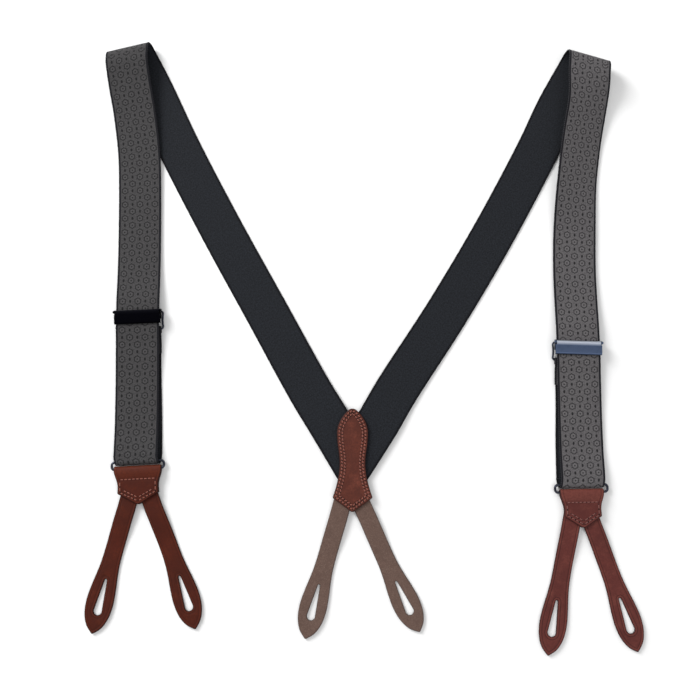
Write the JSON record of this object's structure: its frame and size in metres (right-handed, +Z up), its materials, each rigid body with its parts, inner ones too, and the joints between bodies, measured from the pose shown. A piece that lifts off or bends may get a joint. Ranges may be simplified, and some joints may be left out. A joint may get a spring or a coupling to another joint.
{
  "type": "button-on suspenders",
  "caption": "Y-back suspenders of patterned elastic webbing with lever adjusters, wire rings and buttonhole leather tabs, laid flat.",
  "frame": {"origin": "centre of the whole object's box, on the surface it lies on", "axes": "+Z up from that surface, +Y towards the shoulder folds, +X to the right as seen from above"},
  "size_m": [0.4334, 0.5002, 0.0163],
  "materials": {
    "patch_leather": "smooth red-brown leather, double stitched",
    "suede_leather": "suede flesh side of brown leather",
    "left_tab_leather": "smooth dark brown leather with burnished edges",
    "right_tab_leather": "smooth red-brown leather with burnished edges",
    "webbing_outer_face": "grey elastic webbing woven with small dark rings, dark edges",
    "webbing_inner_face": "dark fine woven inner side of the elastic webbing",
    "dark_nickel_plate": "dark nickel plate",
    "dark_nickel_wire": "dark nickel plated wire"
  },
  "bodies": {
    "back": {"cross_patch_under": "patch_leather", "cross_patch_top": "patch_leather", "back_ear_left": "suede_leather", "back_ear_right": "suede_leather", "left_back_webbing": "webbing_inner_face", "right_back_webbing": "webbing_inner_face", "left_shoulder_fold": "webbing_outer_face", "right_shoulder_fold": "webbing_outer_face"},
    "left_front": {"left_front_webbing": "webbing_outer_face"},
    "left_adjuster": {"left_adjuster_frame": "dark_nickel_plate", "left_adjuster_pin": "dark_nickel_plate", "left_adjuster_wire_loop": "dark_nickel_wire", "left_webbing_hem": "webbing_inner_face", "left_return_webbing": "webbing_inner_face"},
    "left_lever": {"left_adjuster_lever": "dark_nickel_plate"},
    "left_strap_end": {"left_ring_webbing": "webbing_outer_face", "left_lower_front_webbing": "webbing_outer_face"},
    "left_ring": {"left_strap_ring": "dark_nickel_wire"},
    "left_tab": {"left_tab_leather": "left_tab_leather", "left_ear_outer": "left_tab_leather", "left_ear_inner": "left_tab_leather"},
    "right_front": {"right_front_webbing": "webbing_outer_face"},
    "right_adjuster": {"right_adjuster_frame": "dark_nickel_plate", "right_adjuster_pin": "dark_nickel_plate", "right_adjuster_wire_loop": "dark_nickel_wire", "right_webbing_hem": "webbing_inner_face", "right_return_webbing": "webbing_inner_face"},
    "right_lever": {"right_adjuster_lever": "dark_nickel_plate"},
    "right_strap_end": {"right_ring_webbing": "webbing_outer_face", "right_lower_front_webbing": "webbing_outer_face"},
    "right_ring": {"right_strap_ring": "dark_nickel_wire"},
    "right_tab": {"right_tab_leather": "right_tab_leather", "right_ear_outer": "right_tab_leather", "right_ear_inner": "right_tab_leather"}
  },
  "joints": [
    {"name": "left_shoulder_fold", "type": "hinge", "parent": "back", "child": "left_front", "pos_m": [-0.1926, 0.23947, 0.0071], "axis": [-0.9703, -0.2419, 0], "range_deg": [0, 165], "deforming": ["left_shoulder_fold"]},
    {"name": "left_adjuster_slide", "type": "slide", "parent": "left_front", "child": "left_adjuster", "axis": [0.0167, -0.9999, 0], "range_m": [-0.08, 0.08], "deforming": ["left_front_webbing"]},
    {"name": "left_strap_end_slide", "type": "slide", "parent": "left_adjuster", "child": "left_strap_end", "axis": [0.0167, -0.9999, 0], "range_m": [-0.04, 0.04], "deforming": ["left_lower_front_webbing", "left_return_webbing"]},
    {"name": "left_adjuster_lever", "type": "hinge", "parent": "left_adjuster", "child": "left_lever", "pos_m": [-0.18251, 0.01906, 0.00765], "axis": [-0.999, -0.0446, 0], "range_deg": [0, 110]},
    {"name": "left_ring_swing", "type": "hinge", "parent": "left_strap_end", "child": "left_ring", "pos_m": [-0.1805, -0.10133, 0.0027], "axis": [-0.9987, -0.0515, 0], "range_deg": [-90, 90]},
    {"name": "left_tab_swing", "type": "hinge", "parent": "left_ring", "child": "left_tab", "pos_m": [-0.1787, -0.10714, 0.0027], "axis": [-0.9987, -0.0515, 0], "range_deg": [-80, 80]},
    {"name": "right_shoulder_fold", "type": "hinge", "parent": "back", "child": "right_front", "pos_m": [0.1844, 0.23097, 0.0081], "axis": [-0.9563, 0.2924, 0], "range_deg": [0, 165], "deforming": ["right_shoulder_fold"]},
    {"name": "right_adjuster_slide", "type": "slide", "parent": "right_front", "child": "right_adjuster", "axis": [0.0029, -1, 0], "range_m": [-0.08, 0.08], "deforming": ["right_front_webbing"]},
    {"name": "right_strap_end_slide", "type": "slide", "parent": "right_adjuster", "child": "right_strap_end", "axis": [0.0029, -1, 0], "range_m": [-0.04, 0.04], "deforming": ["right_lower_front_webbing", "right_return_webbing"]},
    {"name": "right_adjuster_lever", "type": "hinge", "parent": "right_adjuster", "child": "right_lever", "pos_m": [0.17306, -0.00623, 0.00765], "axis": [-0.9995, 0.032, 0], "range_deg": [0, 110]},
    {"name": "right_ring_swing", "type": "hinge", "parent": "right_strap_end", "child": "right_ring", "pos_m": [0.17339, -0.11943, 0.0027], "axis": [-0.9998, -0.0204, 0], "range_deg": [-90, 90]},
    {"name": "right_tab_swing", "type": "hinge", "parent": "right_ring", "child": "right_tab", "pos_m": [0.17202, -0.12536, 0.0027], "axis": [-0.9998, -0.0204, 0], "range_deg": [-80, 80]}
  ],
  "couplings": [
    {"joint": "left_strap_end_slide", "follows": "left_adjuster_slide", "ratio": -0.5},
    {"joint": "right_strap_end_slide", "follows": "right_adjuster_slide", "ratio": -0.5}
  ]
}
